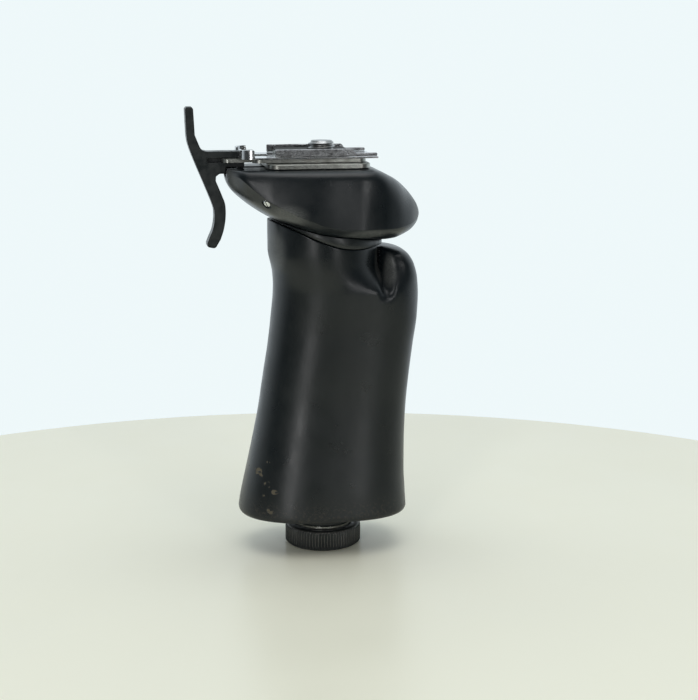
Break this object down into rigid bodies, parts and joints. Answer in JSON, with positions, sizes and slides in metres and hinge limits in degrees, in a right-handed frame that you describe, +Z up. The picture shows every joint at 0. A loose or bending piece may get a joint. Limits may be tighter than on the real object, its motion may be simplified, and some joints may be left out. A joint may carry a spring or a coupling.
{
  "type": "camera pistol grip",
  "caption": "Moulded pistol grip that holds a camera on a plate with a clamp screw turned by a knurled knob below, with a sliding release trigger in front and a thumb horn behind.",
  "frame": {"origin": "centre of the knob's flat bottom, on the axis of the bolt and camera screw", "axes": "+Z up along the bolt, -X forward towards the trigger, +Y to the side away from the one the picture shows"},
  "size_m": [0.0842, 0.05, 0.1627],
  "materials": {
    "moulding": "satin black moulded plastic, hand-polished and chipped",
    "black_metal": "black enamel over metal, worn bright on the edges",
    "steel": "dull nickel-plated steel",
    "chrome": "scratched chrome plate",
    "pad": "thin black friction pad"
  },
  "bodies": {
    "grip": {"handle": "moulding", "head": "moulding", "base_cap": "moulding", "joint_ring": "black_metal", "base_ferrule": "black_metal", "base_plate": "steel", "guide_plate": "steel", "camera_plate": "steel", "core_tube": "steel", "tube_nut": "steel", "tube_washer": "steel", "stack_screw_1": "steel", "stack_screw_2": "steel", "stack_screw_3": "steel", "stack_screw_4": "steel", "trigger_spring": "steel", "coupling_tray": "chrome", "side_rail_near": "chrome", "side_rail_far": "chrome", "cheek_screw_near": "chrome", "cheek_screw_far": "chrome", "camera_pad": "pad"},
    "trigger": {"trigger": "black_metal"},
    "screw_slide": {"thrust_washer": "steel"},
    "drive_screw": {"knob": "black_metal", "drive_bolt": "chrome", "circlip": "steel", "knob_grub_screw": "steel"}
  },
  "joints": [
    {"name": "trigger_pull", "type": "slide", "parent": "grip", "child": "trigger", "axis": [1, 0, 0], "range_m": [0, 0.003], "stiffness_N_per_m": 400, "springref_m": -0.004, "deforming": ["trigger_spring"]},
    {"name": "knob_drop", "type": "slide", "parent": "grip", "child": "screw_slide", "axis": [0, 0, -1], "range_m": [0, 0.0033]},
    {"name": "knob_turn", "type": "hinge", "parent": "screw_slide", "child": "drive_screw", "pos_m": [0, 0, 0], "axis": [0, 0, 1], "continuous": true}
  ]
}
